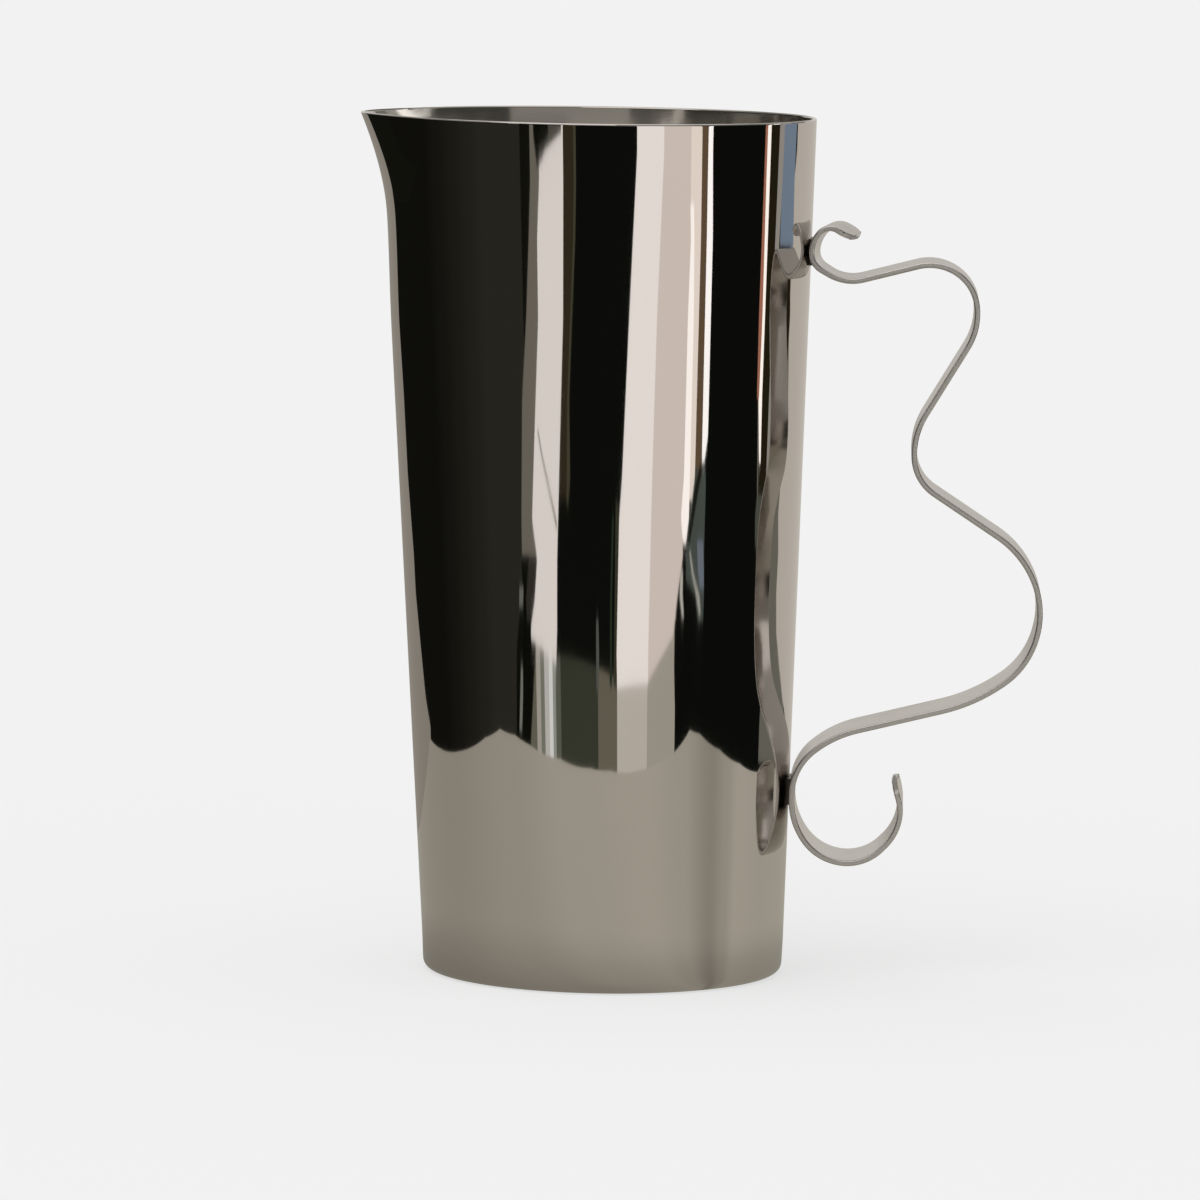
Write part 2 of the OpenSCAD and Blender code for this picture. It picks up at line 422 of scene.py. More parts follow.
def strip_handle(materials):
    """One flat strip, run from tip to tip and spun round each bend's middle."""
    corners = handle_corners()
    bends = handle_bends(corners)
    stations = tip_stations()
    way = bends[0][3]
    place = corners[0] + way * stations[0][0]
    deselect()
    bpy.ops.mesh.primitive_plane_add(
        size=1, location=(place.x, 0, place.y),
        rotation=(0, math.pi / 2 - math.atan2(way.y, way.x), 0),
    )
    bpy.context.object.scale = (STRIP_T, stations[0][1], 1)
    piece = named_piece("strip_handle", materials)
    bpy.ops.mesh.select_mode(type="FACE")
    bpy.ops.mesh.select_all(action="SELECT")
    for (s0, w0), (s1, w1) in zip(stations, stations[1:]):
        push_strip(way, s1 - s0, w1 / w0)
    place = corners[0] + way * STRIP_END_L
    for start, middle, turn, way_in, end, way_out in bends:
        gap = (start - place).length
        if gap > NEAR:
            push_strip(way_in, gap)
        steps = math.ceil(abs(turn) / SPIN_STEP)
        bpy.ops.mesh.spin(
            steps=steps, angle=-turn, center=(middle.x, 0, middle.y), axis=(0, -1, 0), dupli=False
        )
        place, way = end, way_out
    push_strip(way, (corners[-1] - place).length - STRIP_END_L)
    for (s0, w0), (s1, w1) in reversed(list(zip(stations, stations[1:]))):
        push_strip(way, s1 - s0, w0 / w1)
    bpy.ops.mesh.select_all(action="SELECT")
    bpy.ops.mesh.remove_doubles(threshold=SAME_POINT)
    bpy.ops.mesh.normals_make_consistent(inside=False)
    bpy.ops.object.mode_set(mode="OBJECT")
    rows = [range(i, i + 4) for i in range(0, len(piece.data.vertices), 4)]
    turn_tip(piece, rows, *UPPER_TIP_TURN)
    turn_tip(piece, rows[::-1], *LOWER_TIP_TURN)
    finish_edges(piece)
    modify(
        "BEVEL", width=STRIP_EASE, segments=4, limit_method="ANGLE", angle_limit=EDGE_ANGLE,
        use_clamp_overlap=False, material=0,
    )
    bpy.ops.object.shade_smooth()
    modify("WEIGHTED_NORMAL", keep_sharp=True)
    return piece


# Node groups and materials


def node_group(name, inputs, outputs):
    """An empty shader node group with named sockets, and its input and output nodes."""
    group = bpy.data.node_groups.new(name, "ShaderNodeTree")
    for label, kind, value in inputs:
        socket = group.interface.new_socket(name=label, in_out="INPUT", socket_type=kind)
        if value is not None:
            socket.default_value = value
    for label, kind in outputs:
        group.interface.new_socket(name=label, in_out="OUTPUT", socket_type=kind)
    return group, group.nodes.new("NodeGroupInput"), group.nodes.new("NodeGroupOutput")


def feed(tree, socket, value):
    """Links another socket to a node's input, or sets its plain value."""
    if isinstance(value, bpy.types.NodeSocket):
        tree.links.new(value, socket)
    else:
        socket.default_value = value


def add_node(tree, kind, links=(), **values):
    """Adds a node, sets its properties, and links or sets its inputs by name or number."""
    node = tree.nodes.new(kind)
    for key, value in values.items():
        setattr(node, key, value)
    for key, value in dict(links).items():
        feed(tree, node.inputs[key], value)
    return node


def maths(tree, operation, *values):
    """One step of arithmetic on one to three values."""
    return add_node(tree, "ShaderNodeMath", enumerate(values), operation=operation).outputs[0]


def multiplied(tree, a, b):
    """Two vectors multiplied axis by axis."""
    return add_node(tree, "ShaderNodeVectorMath", {0: a, 1: b}, operation="MULTIPLY").outputs[0]


def mixed_colour(tree, share, first, second):
    """Two colours mixed by a share."""
    mix = add_node(tree, "ShaderNodeMix", {0: share}, data_type="RGBA")
    for socket, value in zip([s for s in mix.inputs if s.type == "RGBA"], (first, second)):
        feed(tree, socket, value)
    return [s for s in mix.outputs if s.type == "RGBA"][0]


def map_range(tree, value, low=0.0, high=1.0, start=0.0, end=1.0, kind="LINEAR"):
    """A value that goes from low to high while another goes from start to end."""
    return add_node(
        tree, "ShaderNodeMapRange",
        {"Value": value, "From Min": start, "From Max": end, "To Min": low, "To Max": high},
        interpolation_type=kind,
    ).outputs[0]


VALUE, VECTOR, COLOUR = "NodeSocketFloat", "NodeSocketVector", "NodeSocketColor"


def make_wrapped_place():
    """Place unrolled round the vertical axis: distance round, distance out and height."""
    group, entry, leave = node_group(
        "Place unrolled round the body",
        [("Place", VECTOR, None), ("Radius", VALUE, 0.053)],
        [("Unrolled", VECTOR)],
    )
    parts = add_node(group, "ShaderNodeSeparateXYZ", {0: entry.outputs["Place"]})
    away = maths(group, "MULTIPLY", parts.outputs["X"], -1)
    angle = maths(group, "ARCTAN2", parts.outputs["Y"], away)
    round_way = maths(group, "MULTIPLY", angle, entry.outputs["Radius"])
    joined = add_node(group, "ShaderNodeCombineXYZ", {0: round_way, 1: 0.0, 2: parts.outputs["Z"]})
    group.links.new(joined.outputs[0], leave.inputs["Unrolled"])
    return group


def make_rolled_waves():
    """Slow hills left by rolling and polishing, stretched up and down the sheet."""
    group, entry, leave = node_group(
        "Rolled sheet waves",
        [("Place", VECTOR, None), ("Waves per metre", VALUE, 12.0), ("Stretch", VALUE, 0.1)],
        [("Height", VALUE)],
    )
    squeeze = add_node(group, "ShaderNodeCombineXYZ", {0: 1.0, 1: 1.0, 2: entry.outputs["Stretch"]})
    place = multiplied(group, entry.outputs["Place"], squeeze.outputs[0])
    noise = add_node(
        group, "ShaderNodeTexNoise",
        {"Vector": place, "Scale": entry.outputs["Waves per metre"], "Detail": 1.0, "Roughness": 0.4},
    )
    group.links.new(noise.outputs["Fac"], leave.inputs["Height"])
    return group


def make_brush_lines():
    """Fine lines of a brushed or buffed finish, which run along the axes whose share is small."""
    group, entry, leave = node_group(
        "Brushed lines",
        [("Place", VECTOR, None), ("Lines per metre", VALUE, 4000.0), ("Run", VECTOR, (0.01, 1, 1))],
        [("Lines", VALUE)],
    )
    place = multiplied(group, entry.outputs["Place"], entry.outputs["Run"])
    noise = add_node(
        group, "ShaderNodeTexNoise",
        {"Vector": place, "Scale": entry.outputs["Lines per metre"], "Detail": 3.0, "Roughness": 0.6},
    )
    group.links.new(noise.outputs["Fac"], leave.inputs["Lines"])
    return group


def make_steel_tone():
    """Steel's colour, drifting slowly between two tones."""
    group, entry, leave = node_group(
        "Steel tone",
        [("Place", VECTOR, None), ("Tone", COLOUR, (0.66, 0.63, 0.6, 1)),
         ("Second tone", COLOUR, (0.6, 0.57, 0.53, 1)), ("Patches per metre", VALUE, 30.0)],
        [("Colour", COLOUR)],
    )
    noise = add_node(
        group, "ShaderNodeTexNoise",
        {"Vector": entry.outputs["Place"], "Scale": entry.outputs["Patches per metre"],
         "Detail": 4.0},
    )
    colour = mixed_colour(
        group, noise.outputs["Fac"], entry.outputs["Tone"], entry.outputs["Second tone"]
    )
    group.links.new(colour, leave.inputs["Colour"])
    return group


def make_handling_marks():
    """Faint wiped smears and short hairline scratches, as a mask."""
    group, entry, leave = node_group(
        "Handling marks",
        [("Place", VECTOR, None), ("Smears per metre", VALUE, 45.0),
         ("Hairlines per metre", VALUE, 500.0)],
        [("Smears", VALUE), ("Hairlines", VALUE)],
    )
    smear = add_node(
        group, "ShaderNodeTexNoise",
        {"Vector": entry.outputs["Place"], "Scale": entry.outputs["Smears per metre"], "Detail": 5.0,
         "Distortion": 0.6},
    )
    soft = map_range(group, smear.outputs["Fac"], start=0.45, end=0.75)
    squeezed = multiplied(group, entry.outputs["Place"], (0.06, 1.0, 1.0))
    line = add_node(
        group, "ShaderNodeTexNoise",
        {"Vector": squeezed, "Scale": entry.outputs["Hairlines per metre"], "Detail": 2.0},
    )
    thin = map_range(group, line.outputs["Fac"], start=0.68, end=0.74)
    group.links.new(soft, leave.inputs["Smears"])
    group.links.new(thin, leave.inputs["Hairlines"])
    return group


GROUPS = {
    "unrolled": make_wrapped_place(),
    "waves": make_rolled_waves(),
    "lines": make_brush_lines(),
    "tone": make_steel_tone(),
    "marks": make_handling_marks(),
}


def place_group(tree, key, **inputs):
    """Adds one of the groups, with its inputs named as in the group."""
    node = tree.nodes.new("ShaderNodeGroup")
    node.node_tree = GROUPS[key]
    for label, value in inputs.items():
        feed(tree, node.inputs[label.replace("_", " ")], value)
    return node


# Deep inside, where no buffing wheel reaches, the sheet is duller: what is added to its roughness,
# how metallic it stays, and the heights between which it changes
DULL_ROUGHNESS = 0.28
DULL_METALLIC = 0.45
DULL_DEPTH = (150 * MM, 206 * MM)


def steel(name, tone, second_tone, roughness, wave_height=0.0, line_height=0.0,
          lines_per_metre=4000.0, run=(0.01, 1, 1), around_body=True, metallic=1.0, dull_depth=None):
    """A stainless steel finish, with its own roughness range and either waves or raised lines."""
    material = bpy.data.materials.new(name)
    material.use_nodes = True
    tree = material.node_tree
    shader = tree.nodes["Principled BSDF"]
    shader.inputs["Metallic"].default_value = metallic
    place = add_node(tree, "ShaderNodeTexCoord").outputs["Object"]
    if around_body:
        place = place_group(tree, "unrolled", Place=place).outputs[0]
    colour = place_group(tree, "tone", Place=place, Tone=(*tone, 1), Second_tone=(*second_tone, 1))
    tree.links.new(colour.outputs[0], shader.inputs["Base Color"])
    marks = place_group(tree, "marks", Place=place)
    lines = place_group(tree, "lines", Place=place, Lines_per_metre=lines_per_metre, Run=run)
    low, high = roughness
    rough = map_range(tree, marks.outputs["Smears"], low, (low + high) / 2)
    rough = maths(tree, "MULTIPLY_ADD", lines.outputs[0], (high - low) / 2, rough)
    rough = maths(tree, "MULTIPLY_ADD", marks.outputs["Hairlines"], (high - low) / 2, rough)
    if dull_depth:
        height = add_node(tree, "ShaderNodeSeparateXYZ", {0: place}).outputs["Z"]
        bottom, top = dull_depth
        dull = map_range(tree, height, start=top, end=bottom, kind="SMOOTHSTEP")
        rough = maths(tree, "MULTIPLY_ADD", dull, DULL_ROUGHNESS, rough)
        tree.links.new(map_range(tree, dull, metallic, DULL_METALLIC), shader.inputs["Metallic"])
    tree.links.new(rough, shader.inputs["Roughness"])
    if wave_height or line_height:
        relief = place_group(tree, "waves", Place=place) if wave_height else lines
        bump = add_node(
            tree, "ShaderNodeBump",
            {"Height": relief.outputs[0], "Distance": wave_height or line_height},
        )
        tree.links.new(bump.outputs[0], shader.inputs["Normal"])
    return material


def light_ray_switch(tree, diffuse, glossy, camera):
    """A colour that depends on what kind of ray meets it."""
    path = add_node(tree, "ShaderNodeLightPath")
    colour = mixed_colour(tree, path.outputs["Is Glossy Ray"], (*diffuse, 1), (*glossy, 1))
    return mixed_colour(tree, path.outputs["Is Camera Ray"], colour, (*camera, 1))


def card_material(name, colour):
    """A softbox or studio wall that only the steel sees, at a plain level."""
    material = bpy.data.materials.new(name)
    material.use_nodes = True
    tree = material.node_tree
    tree.nodes.remove(tree.nodes["Principled BSDF"])
    glow = add_node(tree, "ShaderNodeEmission", {"Color": (*colour, 1), "Strength": 1.0})
    tree.links.new(glow.outputs[0], tree.nodes["Material Output"].inputs["Surface"])
    return material


def tone_by_azimuth(material, tones, middle=(0, 0, 0)):
    """Makes a card or sheet brighter and darker round a middle, and gives back its brightness."""
    tree = material.node_tree
    place = add_node(tree, "ShaderNodeTexCoord").outputs["Object"]
    place = add_node(tree, "ShaderNodeVectorMath", {0: place, 1: middle}, operation="SUBTRACT")
    parts = add_node(tree, "ShaderNodeSeparateXYZ", {0: place.outputs[0]})
    to_camera = maths(tree, "MULTIPLY", parts.outputs["Y"], -1)
    angle = maths(tree, "ARCTAN2", parts.outputs["X"], to_camera)
    share = maths(tree, "MULTIPLY_ADD", angle, 1 / math.tau, 0.5)
    ramp = add_node(tree, "ShaderNodeValToRGB", {0: share})
    ramp.color_ramp.interpolation = "EASE"
    stops = ramp.color_ramp.elements
    while len(stops) < len(tones):
        stops.new(0.5)
    for stop, (azimuth, level) in zip(stops, tones):
        stop.position = azimuth / 360 + 0.5
        stop.color = (level, level, level, 1)
    tree.links.new(ramp.outputs[0], tree.nodes["Emission"].inputs["Strength"])
    return ramp.outputs[0]


def shade_near_foot(material, brightness):
    """Darkens the table sheet close to the pitcher's foot."""
    tree = material.node_tree
    place = add_node(tree, "ShaderNodeTexCoord").outputs["Object"]
    length = add_node(tree, "ShaderNodeVectorMath", {0: place}, operation="LENGTH").outputs["Value"]
    near = map_range(tree, length, FOOT_SHADE, 1.0, *FOOT_SHADE_R, kind="SMOOTHSTEP")
    level = maths(tree, "MULTIPLY", brightness, near)
    tree.links.new(level, tree.nodes["Emission"].inputs["Strength"])


# Studio

# The backdrop's tone, the world's light on the floor and the dark that the steel mirrors
PALE = (0.888, 0.888, 0.888)
WORLD_LIGHT = (0.88, 0.88, 0.88)
STUDIO_DARK = (0.008, 0.0083, 0.006)

# The floor is lit from below like a light table, which keeps the shadow on it soft
FLOOR_GLOW = 0.72
FLOOR_SIZE = 12
FLOOR_Z = -0.2 * MM

# The weak sun: how much it adds on level ground, its spread, and its turns about X and Y
SUN_LEVEL = 0.12
SUN_SPREAD = math.radians(50)
SUN_TURNS = (math.radians(28), math.radians(-18))

# A large soft light overhead, which the handle's upper faces and the inside show
OVERHEAD_COLOUR = (0.95, 0.93, 0.9)
OVERHEAD_SIZE = 5
OVERHEAD_Z = 3.4

# How far the cards stand from the pitcher's middle, how much farther each next one does, and the
# widest turn of one face in degrees
CARD_DISTANCE = 3.0
CARD_STEP = 1 * MM
CARD_TURN = 1

# Softboxes, screens and stands round the pitcher, the nearest first. Each has its colour and its
# left and right side from the top down, as azimuth and elevation in degrees. Azimuths run from the
# camera's side towards the handle's. A side with one azimuth runs straight down beside the other.
CARDS = {
    "dark_plant": (
        (0.0046, 0.0054, 0.003),
        ((-33.3, 1.5), (-32.4, -5.52), (-30.8, -5.86)),
        ((-25.8, 1.5), (-24.3, -5.47), (-29.1, -5.85)),
    ),
    "grey_plant": (
        (0.077, 0.077, 0.061),
        ((-33.3, 1.5), (-32.3, -5.48), (-30.9, -5.7), (-31, -5.82)),
        ((-17.4, 1.5), (-17.5, -5.37), (-26.1, -5.67), (-28.3, -5.81)),
    ),
    "olive_line": (
        (0.072, 0.07, 0.044),
        ((-12.2, 1.5), (-11.2, -5.89), (-11.8, -6.63), (-16, -8.66), (-16.8, -9.66), (-17.3, -9.94)),
        ((-10.1, 1.5), (-9.9, -5.87), (-10.7, -6.62), (-14.9, -8.65), (-14.8, -9.63), (-16.1, -9.93)),
    ),
    "line_on_softbox": (
        (0.18, 0.16, 0.13),
        ((-33.3, -9.16), (-31.2, -9.46), (-23.2, -10.3)),
        ((-32.7, -9.16), (-30.5, -9.46), (-22.3, -10.29)),
    ),
    "softbox_left": (
        (0.97, 0.94, 0.91),
        ((-28, 1.5), (-29.6, -6.06), (-31.3, -6.81), (-31.5, -7.8), (-37.3, -10.28), (-34.7, -10.76),
         (-36.7, -11.26), (-39.3, -11.6), (-39.4, -11.75)),
        ((-16.4, 1.5), (-16.7, -5.96), (-17.1, -6.7), (-17.7, -7.69), (-22, -10.2), (-22.9, -10.7),
         (-23.3, -11.19), (-23.5, -11.54), (-24.4, -12)),
    ),
    "grey_screen_left": (
        (0.19, 0.18, 0.15),
        ((-33.9, 1.5), (-34.5, -6.08), (-36, -6.82), (-38.3, -7.81), (-41.7, -8.8), (-43.7, -10.27),
         (-43.9, -10.71)),
        ((-28, 1.5), (-29, -6.06), (-30.7, -6.81), (-30.9, -7.8), (-32.4, -8.79), (-36.1, -10.28),
         (-34.1, -10.74)),
    ),
    "grey_low_left": (
        (0.038, 0.035, 0.029),
        ((-39.5, -10.72), (-42, -11.26), (-41.7, -11.53)),
        ((-33.5, -10.71), (-35.2, -11.26), (-38, -11.53)),
    ),
    "thin_line_left_high": (
        (0.18, 0.19, 0.18),
        ((-45.9, -11.1), (-46.5, -11.34)),
        ((-43.4, -11.11), (-44, -11.35)),
    ),
    "thin_line_left_low": (
        (0.23, 0.24, 0.22),
        ((-46.2, -12.08), (-47.1, -12.47), (-48.2, -12.86)),
        ((-44.9, -12.09), (-45.4, -12.48), (-46.5, -12.86)),
    ),
    "brown_post_left": (
        (0.038, 0.031, 0.018),
        ((-17.9, 1.5), (-18.3, -5.97), (-18.7, -6.72), (-20.5, -8.71), (-21.8, -9.95)),
        ((-11.2, 1.5), (-10.4, -5.88), (-11, -6.62), (-15.4, -8.65), (-16.1, -9.89)),
    ),
    "softbox_right": (
        (1.12, 1.08, 1.05),
        ((21.4, 1.5), (22, -4.91), (18, -7.05), (14.2, -9.11), (12.6, -9.64), (11.1, -11.33),
         (11.4, -11.76)),
        ((36.2, 1.5), (36.4, -4.52), (33.3, -6.65), (31.3, -8.68), (30.9, -9.18), (29.7, -10.87),
         (29.8, -11.25)),
    ),
    "pale_thread": (
        (0.11, 0.12, 0.11),
        ((-0.7, -11.16), (-0.8, -11.57), (-0.8, -12.03)),
        ((0.6, -11.14), (0.9, -11.53), (0.6, -12.01)),
    ),
    "olive_thread": (
        (0.048, 0.051, 0.031),
        ((10.6, -9.5), (10.3, -10.18), (9.3, -11.79)),
        ((12.3, -9.46), (12, -10.14), (11.4, -11.75)),
    ),
    "green_thread": (
        (0.024, 0.037, 0.023),
        ((8.6, -9.72), (7.4, -10.73), (7, -11.84)),
        ((9.7, -9.7), (8.5, -10.71), (8.5, -11.81)),
    ),
    "stand_rim": (
        (0.011, 0.012, 0.008),
        ((60.1, -7.69), (57.1, -8.05), (52.7, -8.88)),
        ((62.6, -7.62), (59.7, -7.98), (54.6, -8.82)),
    ),
    "bright_edge_right": (
        (1.41, 1.37, 1.33),
        ((51.5, -4.7), (52.2, -5.11), (51.1, -6.13), (50.2, -8.14), (48.7, -8.67), (50.2, -8.96)),
        ((53.6, -4.64), (54.2, -5.05), (54.7, -6.02), (53.9, -8.03), (53.7, -8.53), (52.1, -8.91)),
    ),
    "cream_edge_right": (
        (1.07, 0.98, 0.89),
        ((51.1, 1.5), (51.6, -4.39), (52.2, -5.11), (50.8, -8.12), (50.4, -8.42)),
        ((56.8, 1.5), (58, -4.19), (58.1, -4.93), (57, -7.93), (55.4, -8.27)),
    ),
    "pink_softbox_right": (
        (0.85, 0.77, 0.71),
        ((34, 1.5), (33.5, -5.65), (29.5, -8.72), (29.1, -9.23), (29.3, -9.72), (28.3, -10.23),
         (29.8, -11.25)),
        ((51.7, 1.5), (52.7, -5.09), (51.4, -8.1), (49.3, -8.66), (50.3, -9.12), (47.3, -9.7),
         (44.8, -10.27)),
    ),
    "slit_right": (
        (1.44, 1.45, 1.45),
        ((62.2, 1.5), (61.6, -3.77), (61.7, -4.82), (61.3, -7.31), (61.3, -7.63)),
        ((64.6, 1.5), (64.4, -3.69), (65.4, -4.71), (64.9, -7.2), (62.9, -7.58)),
    ),
    "brown_post_right": (
        (0.15, 0.1, 0.061),
        ((56.3, 1.5), (56.9, -4.23), (56.3, -7.86)),
        ((61.6, 1.5), (61.6, -4.08), (61.4, -7.7)),
    ),
    "stand_line_left": (
        (0.6, 0.6, 0.55),
        ((49.2, -9.34), (48.5, -9.67), (50.3, -9.89)),
        ((50.5, -9.3), (50.4, -9.61), (51.6, -9.85)),
    ),
    "stand_line_right": (
        (0.46, 0.47, 0.42),
        ((54.1, -8.96), (56.2, -9.19), (59.1, -9.35), (61.3, -9.53)),
        ((55, -8.93), (57.5, -9.15), (61.4, -9.29), (62.6, -9.49)),
    ),
    "stand_blue": (
        (0.18, 0.22, 0.27),
        ((59.1, -8.68), (60.1, -9.02), (61.6, -9.2)),
        ((63, -8.56), (64, -8.9), (64.3, -9.12)),
    ),
    "stand_grey": (
        (0.082, 0.1, 0.091),
        ((58.2, -7.75), (56.5, -8.07), (53.7, -8.53), (52.2, -9.07), (52.5, -9.37), (58.4, -9.37),
         (60.7, -9.64)),
        ((63.3, -7.6), (64.2, -7.84), (64, -8.22), (63.8, -8.72), (64.2, -9.02), (64.4, -9.2),
         (64.1, -9.54)),
    ),
    "red_slit_edge": (
        (0.46, 0.2, 0.13),
        ((101.1, 1.5), (100.3, -2.91), (99.6, -4.68), (100, -5.69)),
        ((103.1, 1.5), (102.2, -2.86), (102.5, -4.59), (101.8, -5.64)),
    ),
    "slit_side": (
        (1.45, 1.42, 1.34),
        ((102.3, 1.5), (101.7, -2.87), (102.1, -4.61), (101.3, -5.63), (103.6, -6.4)),
        ((105.5, 1.5), (105.1, -2.78), (104.7, -4.53), (104.4, -5.54), (105, -6.37)),
    ),
    "stand_side": (
        (0.087, 0.098, 0.08),
        ((102.7, -6.83), (101.6, -7.13), (102.3, -7.44), (105.6, -7.56)),
        ((107.4, -6.7), (112, -6.85), (112.9, -7.14), (111.4, -7.4)),
    ),
    "grey_post_side": (
        (0.36, 0.35, 0.32),
        ((115.2, 1.5), (112.3, -2.57), (111.1, -4.35), (110.9, -5.36), (110.6, -6.36),
         (109.4, -6.68)),
        ((119.7, 1.5), (116.9, -2.45), (114.3, -4.27), (115.9, -5.22), (115.1, -6.24),
         (113.4, -6.57)),
    ),
    "blue_screen_side": (
        (0.21, 0.28, 0.37),
        ((118.1, 1.5), (116.2, -2.47), (116.6, -3.32)),
        ((133, 1.5), (130, -2.1), (131.5, -2.93)),
    ),
    "brown_side": (
        (0.02, 0.016, 0.0073),
        ((103.5, 1.5), (103.4, -2.83), (103.8, -4.56), (103.1, -6.57), (104.1, -6.98)),
        ((122.3, 1.5), (124.7, -2.24), (131, -3.82), (125.9, -5.95), (118.1, -6.6)),
    ),
    "black_screen_front": (
        (0.0055, 0.0064, 0.0051),
        ((-16.9, 1.5), (-17.7, -6.71), (-19.9, -8.7), (-23.5, -10.7), (-25, -11.99)),
        ((28.7, 1.5), (26.4, -5.84), (21.4, -7.95), (16, -10.05), (14.3, -11.7)),
    ),
    "black_low_left": (
        (0.005, 0.0059, 0.004),
        ((-43.6, -10.52), (-44.5, -11.25), (-48.5, -11.91), (-51, -13.67)),
        ((-32.7, -10.51), (-34.6, -11.26), (-36.5, -11.93), (-43, -13.7)),
    ),
    "black_screen_right": (
        (0.005, 0.0059, 0.0046),
        ((57.4, 1.5), (57.5, -4.95), (57.4, -6.93), (57.7, -7.92), (54.7, -8.99), (50.7, -9.6),
         (45.7, -10.12), (45.7, -10.67), (46.9, -11.37), (47.5, -12.15)),
        ((105.2, 1.5), (105.1, -3.52), (100, -5.66), (102.2, -6.59), (104.5, -7.52), (107.6, -7.93),
         (109.6, -8.25), (113.3, -8.71), (112.3, -9.48), (112.5, -10.28)),
    ),
    "back_wall_left": (
        (0.3, 0.28, 0.245),
        -172,
        ((-139.9, 1.5), (-143.6, -3.63), (-143.5, -4.64), (-141.5, -5.75), (-141.4, -6.76),
         (-137.6, -7.97), (-137.5, -8.47), (-129.5, -10.2), (-124.4, -10.82), (-146, -14),
         (-150, -20), (-152, -40)),
    ),
    "back_wall_right": (
        (0.58, 0.545, 0.49),
        ((130.8, 1.5), (132, -1.73), (130, -2.1), (131, -2.82), (129.7, -3.86), (132.4, -4.79),
         (127.1, -5.92), (125.2, -6.47), (127.1, -6.92), (126.4, -7.44), (128.4, -7.89),
         (134.5, -8.17), (141.4, -8.38), (152.4, -8.49), (165, -20)),
        172,
    ),
    "back_wall_middle": (
        (0.57, 0.55, 0.51),
        ((171, 1.5), (171, -20)),
        ((189, 1.5), (189, -20)),
    ),
    "grey_side_low": (
        (0.17, 0.17, 0.14),
        ((101.9, -3.74), (100.8, -5.64), (103.6, -7.55), (108, -8.42), (110.3, -9.97)),
        ((135.6, -2.83), (138.2, -4.64), (132.5, -6.78), (134, -7.74), (151, -8.96)),
    ),
}

# What stands below and behind the screens, seen down to the table's edge: bottom and top, and then
# each card's colour, left and right
LOW_SPAN = (-20, -10)
LOW_CARDS = {
    "low_line_left": ((0.16, 0.16, 0.12), -41.7, -36.7),
    "low_line_pale": ((0.46, 0.45, 0.4), -36.7, -34.1),
    "low_line_grey": ((0.23, 0.24, 0.2), -34.1, -31.7),
    "low_line_bright": ((0.62, 0.63, 0.6), -31.7, -28.9),
    "low_line_white": ((0.85, 0.9, 0.87), -28.9, -26.7),
    "low_line_mid": ((0.36, 0.39, 0.35), -26.7, -24.9),
    "low_line_right": ((0.13, 0.14, 0.11), -24.9, -21.9),
    "low_dark": ((0.05, 0.057, 0.04), -21.9, 0.2),
    "low_brown": ((0.17, 0.16, 0.12), 0.2, 11.4),
    "low_pale": ((0.63, 0.6, 0.54), 11.4, 29.3),
    "low_grey": ((0.45, 0.43, 0.37), 29.3, 46.6),
}

# Walls and lights above the screens, which the inside and the handle see, and walls below them,
# which only views from higher up see: colour, left, right, bottom and top
OUTER_CARDS = {
    "high_streak": ((0.46, 0.44, 0.4), -46, -40, 1, 14),
    "high_shade_left": ((0.1, 0.097, 0.088), -40, -15, 1, 14),
    "high_front": ((0.3, 0.29, 0.265), -15, 52, 1, 14),
    "high_dark_right": ((0.06, 0.06, 0.052), 52, 104, 1, 14),
    "high_shade_right": ((0.14, 0.135, 0.12), 104, 107, 1, 14),
    "high_light_right": ((1.45, 1.43, 1.38), 107, 113, 1, 14),
    "high_grey_right": ((0.4, 0.39, 0.36), 113, 124, 1, 14),
    "high_low_grey_right": ((0.18, 0.175, 0.16), 124, 142, 1, 14),
    "high_wall": ((0.66, 0.64, 0.6), 142, 215, 1, 14),
    "upper_wall_right": ((0.17, 0.165, 0.15), 12, 104, 15, 50),
    "upper_wall_back": ((0.4, 0.39, 0.36), 104, 225, 14, 50),
    "upper_wall_left": ((0.25, 0.245, 0.23), 225, 300, 14, 50),
    "upper_softbox_front": ((1.1, 1.08, 1.03), -60, 12, 22, 50),
    "lower_grey_left": ((0.19, 0.18, 0.16), -40, -28, -50, -15),
    "lower_softbox_left": ((0.72, 0.7, 0.67), -28, -14, -50, -15),
    "lower_dark_front": ((0.04, 0.039, 0.033), -14, 22, -50, -15),
    "lower_softbox_right": ((0.7, 0.67, 0.63), 22, 50, -50, -15),
    "lower_brown_right": ((0.17, 0.14, 0.11), 50, 63, -50, -15),
    "lower_dark_right": ((0.035, 0.034, 0.029), 63, 98, -50, -15),
    "lower_grey_right": ((0.3, 0.29, 0.26), 98, 112, -50, -15),
    "lower_shade_right": ((0.1, 0.096, 0.085), 112, 131, -50, -15),
    "lower_wall_back": ((0.45, 0.43, 0.39), 131, 172, -50, -15),
    "lower_wall_left": ((0.3, 0.28, 0.25), 172, 212, -50, -15),
    "lower_shade_left": ((0.09, 0.088, 0.078), 212, 246, -50, -15),
    "lower_pale_left": ((0.5, 0.48, 0.44), 246, 262, -50, -15),
    "lower_dark_left": ((0.04, 0.039, 0.033), 262, 304, -50, -15),
    "lower_line_left": ((0.3, 0.29, 0.26), 304, 320, -50, -15),
}

# The dark room on the lip's side, behind all of them and given like them, and its brightness by
# azimuth
DARK_ROOM = ((0.027, 0.0275, 0.021), -160, -40, -14, 14)
DARK_TONES = (
    (-180, 0.25), (-105, 0.25), (-94, 0.38), (-82, 0.58), (-72, 0.78), (-62, 1), (-40, 1), (180, 1),
)

